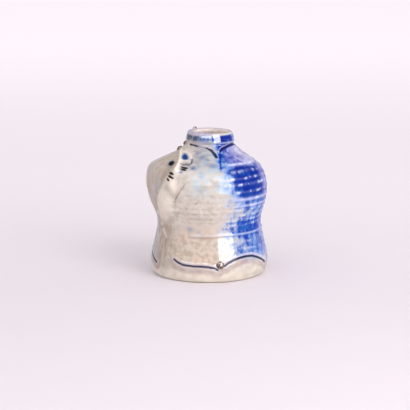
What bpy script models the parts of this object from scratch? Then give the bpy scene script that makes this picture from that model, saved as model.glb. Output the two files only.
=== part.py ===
"""Salt-glazed head vase: a small wheel-thrown bottle whose shoulder is worked into an animal's head.

The frame has +Z up and its origin at the middle of the flat base. The head looks along -Y.
A place on the wall is given by its azimuth, in degrees from the front towards +X, and its height.
"""

import math

import bmesh
import bpy
import numpy as np
from mathutils import Vector

MM = 0.001

# The thrown wall, as (height, radius) in millimetres, from the flat base up to the collar.
WALL = (
    (0.0, 37.9), (1.2, 39.2), (3.4, 40.2), (6.5, 40.8), (10.0, 41.0), (14.5, 40.5), (20.0, 39.3),
    (26.0, 37.9), (31.0, 36.8), (36.0, 36.1), (41.0, 36.3), (46.0, 37.6), (52.0, 39.3), (57.5, 40.1),
    (63.0, 40.1), (68.0, 39.1), (72.0, 37.7), (75.5, 35.5), (79.0, 31.9), (82.0, 27.9), (85.0, 23.4),
    (88.0, 19.6), (90.5, 17.4), (92.2, 16.4), (93.3, 16.9), (94.6, 16.3), (97.0, 16.2), (98.6, 15.8),
)
RIM_HEIGHT = 100.0
RIM_RADIUS = 14.6
MOUTH_RADIUS = 10.9
MOUTH_SHIFT = 1.0
WALL_THICKNESS = 4.0
FLOOR_THICKNESS = 6.0
COLLAR_LEAN = 0.6
RIM_DIP = 0.5
RIM_DIP_AZIMUTH = 200.0

# The foot is a little flat on one side: by how much, where, and half how wide in degrees.
FOOT_FLAT = 1.2
FOOT_FLAT_AZIMUTH = 162.0
FOOT_FLAT_WIDTH = 32.0

# Throwing ridges: the heights of their crests, and how far they stand out.
RIDGES = (22.2, 27.7, 32.7, 38.7, 42.5, 45.8, 49.0, 52.5, 57.3, 61.6, 67.4, 72.0, 75.4)
RIDGE_HEIGHT = 0.22
RIDGE_WIDTH = 1.5

# The head's raised plane: its edge azimuth and its rise, by height.
HEAD_EDGE = (
    (34.0, 25.0), (40.0, 28.5), (45.0, 33.0), (51.0, 38.5), (57.0, 43.5), (62.5, 50.5), (67.2, 61.5),
    (70.0, 67.0), (73.8, 71.0), (75.5, 72.0), (77.5, 71.8), (80.0, 69.0), (83.0, 61.0), (85.2, 50.5),
    (86.8, 40.0), (89.0, 30.0), (92.0, 20.0),
)
HEAD_RISE = ((60.0, 0.0), (64.0, 0.4), (68.0, 1.4), (72.0, 2.6), (75.0, 3.0), (78.0, 2.4),
             (80.0, 1.5), (82.0, 0.8), (84.0, 0.3), (86.0, -0.1), (88.0, 0.0))
CREST_RISE = 1.1
CREST_WIDTH = 1.4

# The muzzle: how far the front stands out, and its half width in degrees, by height.
MUZZLE_RISE = (
    (33.0, 0.0), (36.0, 0.4), (40.0, 1.1), (44.0, 1.9), (49.0, 2.7), (55.0, 3.6), (60.0, 4.5),
    (64.0, 5.1), (68.0, 5.7), (71.0, 5.9), (73.5, 5.2), (76.0, 3.3), (78.0, 2.3), (80.0, 1.4),
    (82.0, 0.75), (84.0, 0.3), (86.0, -0.1), (88.0, 0.0),
)
MUZZLE_HALF_WIDTH = ((33.0, 22.0), (48.0, 27.0), (64.0, 32.0), (72.0, 36.0), (80.0, 40.0), (88.0, 40.0))

# Cheeks, the fold beside the muzzle, and the ears. Paths are (azimuth, height).
CHEEK = ((66.0, 65.5), (60.0, 57.5), (56.0, 50.5), (53.0, 44.5), (50.5, 38.0))
CHEEK_RISE = 2.8
CHEEK_REACH = ((0.0, 7.5), (0.25, 9.5), (0.5, 10.0), (0.75, 7.5), (1.0, 3.5))
FOLD = ((64.0, 69.0), (57.0, 66.0), (49.0, 62.0), (43.5, 57.0), (38.5, 51.0), (34.0, 45.0))
FOLD_DEPTH = 1.2
FOLD_WIDTH = 2.2
EAR_LOOP = ((46.0, 86.2), (57.5, 86.5), (68.5, 86.0), (76.5, 84.5), (81.5, 82.9), (81.5, 81.8),
            (74.5, 81.9), (68.0, 81.7))
EAR_ROLL = 1.1
EAR_ROLL_WIDTH = 1.4
EAR_HOLLOW = (66.5, 84.2)
EAR_HOLLOW_DEPTH = 0.4
EAR_HOLLOW_RADIUS = 3.0

# Eyes, nicks, nostrils and mouth, cut with the tool's point.
EYE = (58.2, 78.8)
EYE_RADIUS = 3.2
NOSTRIL = (7.0, 66.0)
NOSTRIL_RADIUS = 1.5
MOUTH = ((-24.0, 60.0), (-12.0, 57.4), (0.0, 56.6), (12.0, 57.4), (24.0, 60.0))
NICKS = (
    ((66.0, 73.5), (69.8, 73.1)), ((65.6, 71.8), (69.8, 71.0)), ((64.3, 70.0), (66.4, 69.4)),
    ((74.0, 78.4), (81.8, 78.2)), ((75.0, 77.3), (80.8, 77.0)),
)
NICK_RADIUS = 0.75

# The wavy lines cut round the foot: each of three pairs runs down to a bead. Azimuths are from the bead.
HEM_LEFT = ((-47.5, 15.2), (-44.0, 13.8), (-37.0, 12.2), (-26.0, 11.8), (-18.5, 11.9), (-11.0, 11.5),
            (-6.5, 10.8), (-3.0, 9.5))
HEM_RIGHT = ((4.5, 12.0), (8.0, 13.9), (14.0, 15.6), (21.0, 16.8), (28.5, 17.2), (36.5, 16.8), (44.5, 15.0),
             (51.5, 12.8), (60.0, 9.6))
HEM_RIGHT_FRONT = ((4.5, 12.0), (8.0, 13.9), (14.0, 15.6), (21.0, 16.0), (30.0, 14.4), (38.0, 12.2),
                   (46.0, 10.2))
HEM_LINE_RADIUS = 0.85

# The lines that part below the collar like a curtain, on both sides of the head.
CURTAIN_FRONT = ((52.0, 91.5), (75.0, 91.2), (90.5, 90.8), (102.0, 90.2), (111.5, 88.8), (117.5, 86.8),
                 (120.5, 84.8))
CURTAIN_BACK = ((176.5, 91.2), (158.5, 91.0), (146.5, 90.2), (137.0, 89.5), (132.0, 88.5), (127.5, 86.0),
                (125.0, 83.0), (123.5, 79.0))
CURTAIN_LINE_RADIUS = 0.75

# Beads of dark clay: name, azimuth, height and radius. Each stands in a shallow socket.
BEADS = (
    ("bead_hem_front", 0.0, 12.8, 2.8),
    ("bead_hem_left", 120.0, 12.8, 2.8),
    ("bead_hem_right", 240.0, 12.8, 2.8),
    ("bead_shoulder", 10.0, 86.6, 2.2),
    ("bead_neck", 18.0, 91.0, 1.9),
    ("bead_rim", -29.0, 98.9, 2.0),
)
BEAD_FLATNESS = 0.62
BEAD_GAP = 0.3

# The mesh: columns round the wall in four stretches, and rows up it.
COLUMN_STRETCHES = ((-46.0, 46.0, 14), (46.0, 90.0, 14), (90.0, 270.0, 18), (270.0, 314.0, 14))
FOOT_ROWS = (0.0, 1.2, 3.4, 6.5, 10.0, 14.5, 18.5)
SHOULDER_ROWS = (77.2, 79.0, 80.7, 82.3, 84.0, 85.6, 87.2, 88.8, 90.4, 91.5)
COLLAR_ROWS = (92.2, 93.3, 94.6, 97.0, 98.6)
INNER_ROWS = (92.0, 86.0, 79.0, 70.0, 60.0, 48.0, 36.0, 24.0, 13.0, 7.5)
INNER_COLUMN_STEP = 3


def curve_through(stations, x):
    """A smooth curve through the stations: on each span, a cubic with the neighbours' mean slope."""
    knots, values = np.array(stations).T
    slopes = np.gradient(values, knots)
    x = np.clip(np.asarray(x, float), knots[0], knots[-1])
    i = np.clip(np.searchsorted(knots, x) - 1, 0, len(knots) - 2)
    span = knots[i + 1] - knots[i]
    t = (x - knots[i]) / span
    return (
        values[i] * (1 + 2 * t) * (1 - t) ** 2
        + slopes[i] * span * t * (1 - t) ** 2
        + values[i + 1] * t * t * (3 - 2 * t)
        - slopes[i + 1] * span * t * t * (1 - t)
    )


def smooth_step(x, low, high):
    t = np.clip((x - low) / (high - low), 0.0, 1.0)
    return t * t * (3 - 2 * t)


def dip(azimuth, height):
    """How far the rim of the collar sags on one side. The azimuth is in radians."""
    turned = azimuth - np.radians(RIM_DIP_AZIMUTH)
    return RIM_DIP * smooth_step(height, 92.0, 99.0) * (0.5 + 0.5 * np.cos(turned))


def thrown(azimuth, height):
    """The plain thrown wall: its points in millimetres and its outward normals."""
    azimuth, height = np.broadcast_arrays(np.radians(azimuth), np.asarray(height, float))
    off = (np.degrees(azimuth) % 360.0 - FOOT_FLAT_AZIMUTH) / FOOT_FLAT_WIDTH
    flat = FOOT_FLAT * np.exp(-(off**2)) * (1 - smooth_step(height, 2.0, 7.0))
    radius = curve_through(WALL, height) - flat
    slope = (curve_through(WALL, height + 0.2) - curve_through(WALL, height - 0.2)) / 0.4
    outward = np.stack([np.sin(azimuth), -np.cos(azimuth), np.zeros_like(azimuth)], -1)
    points = outward * radius[..., None]
    points[..., 1] += COLLAR_LEAN * smooth_step(height, 80.0, 93.0)
    points[..., 2] = height - dip(azimuth, height)
    normals = outward.copy()
    normals[..., 2] = -slope
    return points, normals / np.linalg.norm(normals, axis=-1, keepdims=True)


def path_distance(points, path):
    """The distance of each point to a path on the thrown wall, and how far along the path it is, 0 to 1."""
    corners = thrown(*np.array(path).T)[0]
    best = np.full(points.shape[:-1], np.inf)
    along = np.zeros(points.shape[:-1])
    for n, (a, b) in enumerate(zip(corners, corners[1:])):
        t = np.clip((points - a) @ (b - a) / ((b - a) @ (b - a)), 0.0, 1.0)
        gap = np.linalg.norm(points - a - t[..., None] * (b - a), axis=-1)
        nearer = gap < best
        best = np.where(nearer, gap, best)
        along = np.where(nearer, (n + t) / (len(corners) - 1), along)
    return best, along


def bell(distance, width):
    return np.exp(-((distance / width) ** 2))


def head_swell(side, height):
    """The broad forms of the head: its raised plane and the muzzle. Side is the azimuth's size."""
    radius = curve_through(WALL, height)
    inside = (curve_through(HEAD_EDGE, height) - side) * np.radians(1.0) * radius
    plane = curve_through(HEAD_RISE, height) * smooth_step(inside, -2.6, 0.8)
    across = np.exp(-((side / curve_through(MUZZLE_HALF_WIDTH, height)) ** 2.6))
    muzzle = (curve_through(MUZZLE_RISE, height) - curve_through(HEAD_RISE, height)) * across
    return plane + muzzle, inside


def relief(azimuth, height):
    """How far the worked surface stands out from the thrown wall, in millimetres."""
    side = np.abs((azimuth + 180.0) % 360.0 - 180.0)
    points, _ = thrown(side, height)
    swell, inside = head_swell(side, height)
    total = swell.copy()

    # Ridges left by the fingers, smoothed away where the head was worked.
    crests = sum(bell(height - z, RIDGE_WIDTH) for z in RIDGES)
    total += RIDGE_HEIGHT * crests * smooth_step(side, 70.0, 100.0)

    # The crest at the edge of the face.
    total += CREST_RISE * bell(inside - 0.3, CREST_WIDTH) * smooth_step(height, 73.0, 77.0) * (
        1 - smooth_step(height, 87.0, 90.0)
    )

    # Cheek, and the fold between it and the muzzle.
    gap, along = path_distance(points, CHEEK)
    reach = curve_through(CHEEK_REACH, along)
    total += CHEEK_RISE * np.clip(1 - (gap / reach) ** 2, 0, 1) ** 1.5
    gap, _ = path_distance(points, FOLD)
    total -= FOLD_DEPTH * bell(gap, FOLD_WIDTH)

    # The ear: a rolled edge round a hollow.
    gap, _ = path_distance(points, EAR_LOOP)
    total += EAR_ROLL * bell(gap, EAR_ROLL_WIDTH)
    gap = np.linalg.norm(points - thrown(*EAR_HOLLOW)[0], axis=-1)
    total -= EAR_HOLLOW_DEPTH * np.clip(1 - (gap / EAR_HOLLOW_RADIUS) ** 2, 0, 1)
    return total


def wall_point(azimuth, height, lift=0.0):
    """A point of the worked surface, or lifted off it, in millimetres, and its normal."""
    point, normal = thrown(azimuth, height)
    return point + normal * (relief(np.asarray(azimuth), np.asarray(height))[..., None] + lift), normal


def columns():
    stretches = [np.linspace(a, b, n, endpoint=False) for a, b, n in COLUMN_STRETCHES]
    return np.concatenate(stretches)


def outer_rows():
    troughs = [(a + b) / 2 for a, b in zip(RIDGES, RIDGES[1:])]
    return sorted((*FOOT_ROWS, *RIDGES, *troughs, *SHOULDER_ROWS, *COLLAR_ROWS))


def ring(radius, height, azimuths, shift=0.0):
    """A circle of points that follows the collar's lean and dip, shifted along +Y."""
    turn = np.radians(azimuths)
    centre = COLLAR_LEAN * smooth_step(height, 80.0, 93.0) + shift
    level = height - dip(turn, height)
    return np.stack([radius * np.sin(turn), centre - radius * np.cos(turn), level], -1)


def inner_ring(height, azimuths):
    """The inside of the wall: the thrown wall set back, and pushed out by half the head's swell."""
    side = np.abs((azimuths + 180.0) % 360.0 - 180.0)
    points, normals = thrown(azimuths, np.full_like(azimuths, height))
    swell, _ = head_swell(side, np.full_like(azimuths, height))
    return points + normals * (0.5 * swell - WALL_THICKNESS)[:, None]


def new_object(name, mesh, material):
    """Links a mesh as one named object with its material."""
    obj = bpy.data.objects.new(name, mesh)
    bpy.context.scene.collection.objects.link(obj)
    if material:
        mesh.materials.append(material)
    return obj


def mesh_from(name, build):
    """A mesh filled by the given function, in metres, with its normals pointing out."""
    bm = bmesh.new()
    build(bm)
    bmesh.ops.scale(bm, vec=(MM, MM, MM), verts=bm.verts)
    bmesh.ops.recalc_face_normals(bm, faces=bm.faces)
    mesh = bpy.data.meshes.new(name)
    bm.to_mesh(mesh)
    bm.free()
    mesh.shade_smooth()
    mesh.set_sharp_from_angle(angle=math.radians(50))
    return mesh


def add_band(bm, lower, upper):
    """Quads between two rings of the same count."""
    count = len(lower)
    for i in range(count):
        j = (i + 1) % count
        bm.faces.new((lower[i], lower[j], upper[j], upper[i]))


def vase_body(bm):
    """Base, worked outer wall, rolled rim and inner wall, as one closed skin."""
    azimuths = columns()
    rings = [wall_point(azimuths, np.full_like(azimuths, z))[0] for z in outer_rows()]
    rings.append(ring(RIM_RADIUS + 0.7, RIM_HEIGHT - 0.5, azimuths))
    rings.append(ring(RIM_RADIUS - 0.2, RIM_HEIGHT, azimuths, 0.1 * MOUTH_SHIFT))
    rings.append(ring(MOUTH_RADIUS + 1.2, RIM_HEIGHT - 0.3, azimuths, 0.7 * MOUTH_SHIFT))
    rings.append(ring(MOUTH_RADIUS, RIM_HEIGHT - 2.2, azimuths, MOUTH_SHIFT))
    outer = [[bm.verts.new(p) for p in points] for points in rings]
    for lower, upper in zip(outer, outer[1:]):
        add_band(bm, lower, upper)
    bm.faces.new(outer[0])

    coarse = azimuths[::INNER_COLUMN_STEP]
    inner = [[bm.verts.new(p) for p in inner_ring(z, coarse)] for z in INNER_ROWS]
    floor = ring(curve_through(WALL, FLOOR_THICKNESS) - 2 * WALL_THICKNESS, FLOOR_THICKNESS, coarse)
    inner.append([bm.verts.new(p) for p in floor])
    for lower, upper in zip(inner, inner[1:]):
        add_band(bm, lower, upper)
    bm.faces.new(inner[-1])

    # The last fine ring meets the first coarse one: one face spans several fine edges.
    mouth, neck = outer[-1], inner[0]
    for i in range(len(neck)):
        fine = [mouth[(INNER_COLUMN_STEP * i + k) % len(mouth)] for k in range(INNER_COLUMN_STEP + 1)]
        bm.faces.new((*fine, neck[(i + 1) % len(neck)], neck[i]))


def add_tube(bm, centres, radii, sides=4):
    """A closed tube along the points, with pointed ends."""
    centres = [Vector(c) for c in centres]
    first, last = centres[0], centres[-1]
    start = bm.verts.new(first - (centres[1] - first).normalized() * float(radii[0]))
    end = bm.verts.new(last + (last - centres[-2]).normalized() * float(radii[-1]))
    rings = []
    for i, centre in enumerate(centres):
        ahead = centres[min(i + 1, len(centres) - 1)] - centres[max(i - 1, 0)]
        out = Vector((centre.x, centre.y, 0.0)).normalized()
        across = ahead.cross(out).normalized()
        up = across.cross(ahead).normalized()
        turns = [2 * math.pi * k / sides for k in range(sides)]
        radius = float(radii[i])
        rings.append(
            [bm.verts.new(centre + radius * (math.cos(t) * across + math.sin(t) * up)) for t in turns]
        )
    for lower, upper in zip(rings, rings[1:]):
        add_band(bm, lower, upper)
    for i in range(sides):
        j = (i + 1) % sides
        bm.faces.new((rings[0][i], start, rings[0][j]))
        bm.faces.new((rings[-1][j], end, rings[-1][i]))


def add_stroke(bm, path, radius, turn=0.0, mirrored=False):
    """A cutter for one line drawn in the clay: thinner at both ends, its middle just above the surface."""
    azimuths, heights = np.array(path).T
    azimuths = (-azimuths if mirrored else azimuths) + turn
    centres, _ = wall_point(azimuths, heights, lift=0.15)
    share = np.linspace(0.0, 1.0, len(centres))
    radii = radius * (0.65 + 0.35 * np.sin(math.pi * share))
    add_tube(bm, centres, radii)


def hem_lines(bm):
    for n in range(3):
        add_stroke(bm, HEM_LEFT, HEM_LINE_RADIUS, turn=120.0 * n)
        right = HEM_RIGHT_FRONT if n == 0 else HEM_RIGHT
        add_stroke(bm, right, HEM_LINE_RADIUS, turn=120.0 * n)


def curtain_lines(bm):
    for mirrored in (False, True):
        add_stroke(bm, CURTAIN_FRONT, CURTAIN_LINE_RADIUS, mirrored=mirrored)
        add_stroke(bm, CURTAIN_BACK, CURTAIN_LINE_RADIUS, mirrored=mirrored)


def face_marks(bm):
    """Eyes, nostrils, mouth and the nicks behind the eyes."""
    for sign in (1.0, -1.0):
        for (azimuth, height), radius in ((EYE, EYE_RADIUS), (NOSTRIL, NOSTRIL_RADIUS)):
            centre, _ = wall_point(sign * azimuth, height, lift=0.6 * radius)
            made = bmesh.ops.create_icosphere(bm, subdivisions=2, radius=radius)
            bmesh.ops.translate(bm, vec=centre, verts=made["verts"])
        for start, end in NICKS:
            add_stroke(bm, (start, end), NICK_RADIUS, mirrored=sign < 0)
    add_stroke(bm, MOUTH, 0.7)


def add_bead(bm, azimuth, height, radius, grow=0.0, rings=5, segments=12):
    """A pressed ball of clay, flat towards the wall, grown all round by a gap where it cuts its socket."""
    centre, normal = wall_point(azimuth, height, lift=0.15 * radius)
    made = bmesh.ops.create_uvsphere(bm, u_segments=segments, v_segments=rings, radius=1.0)
    size = radius + grow
    thick = radius * BEAD_FLATNESS + grow
    bmesh.ops.scale(bm, vec=(size, size, thick), verts=made["verts"])
    turn = Vector((0, 0, 1)).rotation_difference(Vector(normal)).to_matrix()
    bmesh.ops.rotate(bm, cent=(0, 0, 0), matrix=turn, verts=made["verts"])
    bmesh.ops.translate(bm, vec=centre, verts=made["verts"])


def bead_sockets(bm):
    for _, azimuth, height, radius in BEADS:
        add_bead(bm, azimuth, height, radius, grow=BEAD_GAP)


def plain_material(name, colour, roughness):
    material = bpy.data.materials.new(name)
    material.use_nodes = True
    shader = material.node_tree.nodes["Principled BSDF"]
    shader.inputs["Base Color"].default_value = (*colour, 1.0)
    shader.inputs["Roughness"].default_value = roughness
    shader.inputs["Metallic"].default_value = 0.0
    return material


def cut(obj, name, build):
    """Cuts the shapes that the function makes out of the object."""
    cutter = new_object(name, mesh_from(name, build), None)
    cutter.hide_render = True
    cutter.display_type = "WIRE"
    modifier = obj.modifiers.new(name, "BOOLEAN")
    modifier.operation = "DIFFERENCE"
    modifier.solver = "EXACT"
    modifier.object = cutter


def main():
    for old in list(bpy.data.objects):
        bpy.data.objects.remove(old)
    glaze = plain_material("salt_glaze", (0.62, 0.58, 0.55), 0.15)
    dark_clay = plain_material("dark_clay", (0.10, 0.055, 0.04), 0.35)

    vase = new_object("vase", mesh_from("vase", vase_body), glaze)
    cut(vase, "hem_line_cutter", hem_lines)
    cut(vase, "curtain_line_cutter", curtain_lines)
    cut(vase, "face_mark_cutter", face_marks)
    cut(vase, "bead_socket_cutter", bead_sockets)

    for name, azimuth, height, radius in BEADS:
        new_object(name, mesh_from(name, lambda bm: add_bead(bm, azimuth, height, radius)), dark_clay)


main()
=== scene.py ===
"""The looks of a small salt-glazed head vase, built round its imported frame.

The frame has +Z up, its origin at the middle of the flat base, and the animal's head looks along -Y.
A place on the wall is given by its azimuth, in degrees from the front towards +X, and its height in mm.
"""

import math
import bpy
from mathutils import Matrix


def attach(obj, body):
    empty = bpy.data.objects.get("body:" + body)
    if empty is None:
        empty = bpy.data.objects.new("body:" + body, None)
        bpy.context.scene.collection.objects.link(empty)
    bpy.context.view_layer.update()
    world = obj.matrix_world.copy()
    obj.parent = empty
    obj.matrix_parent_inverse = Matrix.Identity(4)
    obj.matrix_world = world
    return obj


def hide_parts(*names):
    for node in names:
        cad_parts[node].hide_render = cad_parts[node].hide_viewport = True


bl_info = {
    "name": "Salt-glazed head vase",
    "version": (1, 0, 0),
    "blender": (4, 5, 0),
    "location": "View3D > Sidebar > Head vase",
    "description": "Builds the glazed wall, the coiled clay beads and the studio of a small head vase",
    "category": "Object",
}

import bmesh
import bpy
import numpy as np
from bpy.props import FloatProperty, FloatVectorProperty, PointerProperty
from mathutils import Vector

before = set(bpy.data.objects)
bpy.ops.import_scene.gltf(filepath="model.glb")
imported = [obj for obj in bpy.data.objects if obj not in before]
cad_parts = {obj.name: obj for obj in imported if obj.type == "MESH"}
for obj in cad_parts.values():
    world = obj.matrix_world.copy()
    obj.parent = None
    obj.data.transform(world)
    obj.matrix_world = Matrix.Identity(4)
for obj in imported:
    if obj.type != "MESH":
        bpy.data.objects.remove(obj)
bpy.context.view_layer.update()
MM = 0.001
FAR = 4.0  # in mm, past the reach of any mark or line

# The thrown wall, as (height, radius) in mm, from the flat base up to the collar.
WALL = (
    (0, 37.9), (1.2, 39.2), (3.4, 40.2), (6.5, 40.8), (10, 41), (14.5, 40.5), (20, 39.3),
    (26, 37.9), (31, 36.8), (36, 36.1), (41, 36.3), (46, 37.6), (52, 39.3), (57.5, 40.1),
    (63, 40.1), (68, 39.1), (72, 37.7), (75.5, 35.5), (79, 31.9), (82, 27.9), (85, 23.4),
    (88, 19.6), (90.5, 17.4), (92.2, 16.4), (93.3, 16.9), (94.6, 16.3), (97, 16.2), (98.6, 15.8),
)
# The rim, collar, mouth and inside in mm, and a flatter place low on the wall, which the hand left.
COLLAR_TOP = 98.6
RIM_ARC = 1.75
RIM_INSIDE_DROP = 0.8
MOUTH_RADIUS = 10.9
MOUTH_SHIFT = 1.0
WALL_THICKNESS = 4.0
FLOOR_THICKNESS = 6.0
COLLAR_LEAN = 0.6
RIM_DIP = 0.5
RIM_DIP_AZIMUTH = 200.0
FOOT_FLAT = 1.2
FOOT_FLAT_AZIMUTH = 162.0
FOOT_FLAT_WIDTH = 32.0

# Throwing ridges, as (height, relief, half width, how pale their crest is). The narrow one, at the cord's
# height, is a raised cord round the waist.
RIDGES = (
    (22.2, 0.7, 1.3, 0.35), (27.7, 0.8, 1.3, 0.5), (32.5, 1.9, 0.6, 1), (38.7, 0.9, 1.2, 0.5),
    (42.5, 0.9, 1.1, 0.55), (45.8, 1, 1, 0.7), (49, 1.1, 1, 0.75), (52.5, 1.2, 1.2, 1),
    (57.4, 1.1, 1.5, 1), (62, 1, 1.1, 0.8), (67.4, 1, 1.2, 0.9), (71.6, 0.9, 1.1, 0.8),
    (75.5, 0.9, 1.3, 0.45), (79.6, 0.8, 0.9, 1),
)
CORD_HEIGHT = 32.5

# The head's raised plane, its edge azimuth and its rise, and the muzzle's rise and half width, by height.
HEAD_EDGE = (
    (34, 25), (40, 28.5), (45, 33), (51, 38.5), (57, 43.5), (62.5, 50.5), (67.2, 61.5),
    (70, 67), (73.8, 71), (75.5, 72), (77.5, 71.8), (80, 69), (83, 61), (85.2, 50.5),
    (86.8, 40), (89, 30), (92, 20),
)
HEAD_RISE = ((60, 0), (64, 0.4), (68, 1.4), (72, 2.6), (75, 3), (78, 2.4),
             (80, 1.5), (82, 0.8), (84, 0.3), (86, -0.1), (88, 0))
CREST_RISE = 1.1
CREST_WIDTH = 1.4
MUZZLE_RISE = (
    (33, 0), (36, 0.4), (40, 1.1), (44, 1.9), (49, 2.7), (55, 3.6), (60, 4.5),
    (64, 5.1), (68, 5.7), (71, 5.9), (73.5, 5.2), (76, 3.3), (78, 2.3), (80, 1.4),
    (82, 0.75), (84, 0.3), (86, -0.1), (88, 0),
)
MUZZLE_HALF_WIDTH = ((33, 22), (48, 27), (64, 32), (72, 36), (80, 40), (88, 40))

# Cheek, fold, ear, eye and the marks of the tool. Paths are (azimuth, height).
CHEEK = ((66, 65.5), (60, 57.5), (56, 50.5), (53, 44.5), (50.5, 38))
CHEEK_RISE = 2.8
CHEEK_REACH = ((0, 7.5), (0.25, 9.5), (0.5, 10), (0.75, 7.5), (1, 3.5))
FOLD = ((64, 69), (57, 66), (49, 62), (43.5, 57), (38.5, 51), (34, 45))
EAR_LOOP = ((46, 86.2), (57.5, 86.5), (68.5, 86), (76.5, 84.5), (81.5, 82.9), (81.5, 81.8),
            (74.5, 81.9), (68, 81.7))
EAR_ROLL = 1.1
EAR_ROLL_WIDTH = 1.4
EAR_HOLLOW = (66.5, 84.2)
EAR_HOLLOW_DEPTH = 0.4
EAR_HOLLOW_RADIUS = 3.0
EAR_SHADE = ((83, 83), (84.5, 81), (82, 80.2), (77, 80.2), (72, 79.8))
EYE = (58.2, 78.8)
EYE_AXES = ((1.9, 0.9), (-2.2, 2.3))
EYE_DEPTH = 0.8
EYE_HALO = ((52.5, 80.6), (58, 79), (62.5, 79.6))
NOSTRIL = (7, 66)
NOSTRIL_RADIUS = 1.5
NOSTRIL_DEPTH = 0.9
MOUTH = ((-24, 60), (-12, 57.4), (0, 56.6), (12, 57.4), (24, 60))
NICKS = (
    ((66, 73.5), (69.8, 73.1)), ((65.6, 71.8), (69.8, 71)), ((64.3, 70), (66.4, 69.4)),
    ((74, 78.4), (81.8, 78.2)), ((75, 77.3), (80.8, 77)),
)
CREASE = ((50, 37.5), (49, 32.8), (57.5, 29))
MUZZLE_FOLDS = (14, 24, 33)
MUZZLE_FOLD_DEPTH = 0.35
CHEEK_SHADE = ((66.5, 64.8), (70, 62), (72.5, 59.5))
EAR_POOL = (67, 83.9)
EAR_POOL_AXES = ((3.4, 0.1), (-3, 3.8))
CRACK = ((73.8, 56.8), (75.6, 58.7), (76.6, 60.3), (78.7, 61.9), (79.8, 63.9), (82.2, 65.5), (83.4, 67.7),
         (86, 69.1), (88.5, 69.9))
FLECK = ((95.6, 54.6), (97.4, 55.8))

# Bands along the edge of the face: how far inside it, half width, and where each starts and ends in height.
FACE_BANDS = {
    # Pale brow along the crest: partly thin glaze, partly painted highlight.
    "brow": (0.1, 1.45, (73, 76, 86, 89)),
    "tan": (1.9, 0.8, (75, 78, 86, 89)),
    # Painted shade on the face, just inside the crest.
    "face_shade": (5.5, 4, (62, 69, 77, 86)),
}

# Soft strokes on the head: the field, its path, how far it is raised and over what half width, and the
# half width of its colour.
STROKES = (
    ("fold", FOLD, -1.2, 2.2, 2.2),
    # Painted shade in a soft hollow of the cheek; this stroke raises nothing.
    ("cheek_hollow_shade", CHEEK_SHADE, 0, 1, 2.4),
    ("crease", CREASE, 0.5, 0.9, 0.8),
    ("ear_shade", EAR_SHADE, -0.5, 0.7, 0.7),
)

# The lines drawn round the foot, measured from each of three beads, and those below the collar.
HEM_LEFT = ((-47.5, 15.2), (-44, 13.8), (-37, 12.2), (-26, 11.8), (-18.5, 11.9), (-11, 11.5),
            (-6.5, 10.8), (-3, 9.5))
HEM_RIGHT = ((4.5, 12), (8, 13.9), (14, 15.6), (21, 16.8), (28.5, 17.2), (36.5, 16.8), (44.5, 15),
             (51.5, 12.8), (60, 9.6))
HEM_RIGHT_FRONT = ((4.5, 12), (8, 13.9), (14, 15.6), (21, 16), (30, 14.4), (38, 12.2),
                   (46, 10.2))
CURTAIN_FRONT = ((52, 91.5), (75, 91.2), (90.5, 90.8), (102, 90.2), (111.5, 88.8), (117.5, 86.8),
                 (120.5, 84.8))
CURTAIN_BACK = ((176.5, 91.2), (158.5, 91), (146.5, 90.2), (137, 89.5), (132, 88.5), (127.5, 86),
                (125, 83), (123.5, 79))

# Blue that ran down between the two lines, and soft blue smudges as (azimuth, height, size in mm, share).
TONGUE = ((133, 91.5), (131, 88.6), (126.5, 84.5), (124.2, 81), (123, 77))
SMUDGES = (
    (89.5, 78.2, 1.7, 0.75), (105, 82.8, 2.4, 0.75), (76, 75.5, 1.4, 0.6), (86, 86.8, 2, 0.35),
    (114, 80, 2.4, 0.4), (102, 65, 2.6, 0.3), (118, 67.8, 2.8, 0.35), (99.5, 74, 2.6, 0.3),
    (110, 72.8, 2.4, 0.3), (97, 84.6, 2.2, 0.45), (88, 36.5, 2.6, 0.35), (98, 34.6, 1.9, 0.3),
)
SMUDGE_SQUASH = (1, 1, 1.3)

# Dark blue runs beside the end of the arched line.
EDGE_STREAKS = (((173, 30), (176, 24), (179, 18.5)), ((178.5, 28), (182, 21), (183.5, 15)),
                ((169, 27), (170.5, 22.5)))

# Beads of dark clay: the frame's node, azimuth, height and radius. Then how flat they are, how high the
# middle of the coil is, and how far a bead's centre stands off the wall, as shares of the radius.
BEADS = (
    ("bead_hem_front", 0, 12.8, 2.8),
    ("bead_hem_left", 120, 12.8, 2.8),
    ("bead_hem_right", 240, 12.8, 2.8),
    ("bead_shoulder", 10, 86.6, 2.2),
    ("bead_neck", 18, 91, 1.9),
    ("bead_rim", -29, 98.9, 2),
)
BEAD_FLATNESS = 0.62
BEAD_MIDDLE = 0.97
BEAD_PROUD = 0.15

# Where the blue lies: the azimuth at which it starts and its strength, by height, and round the collar.
BLUE_START = ((10, 142), (18, 137), (25, 134), (35, 135), (45, 138), (56, 138),
              (65, 133), (75, 131.5), (80, 125), (85, 124), (92, 130))
BLUE_STRENGTH = ((11, 0), (16, 0.5), (22, 0.8), (30, 0.85), (36, 1.3), (42, 0.9),
                 (47, 0.65), (52, 0.8), (57, 1.05), (66, 1.3), (76, 1.3), (80, 0.95),
                 (86, 0.85), (92, 0.9))
COLLAR_BLUE = ((0, 0.7), (30, 0.95), (55, 1), (80, 0.95), (98, 0.8), (110, 0.9), (116, 1.3),
               (150, 1.35), (205, 1), (250, 0.75), (310, 0.6), (360, 0.6))

# Where the rim turns blue, in azimuth.
BLUE_RIM = (110, 118, 215, 240)

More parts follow.
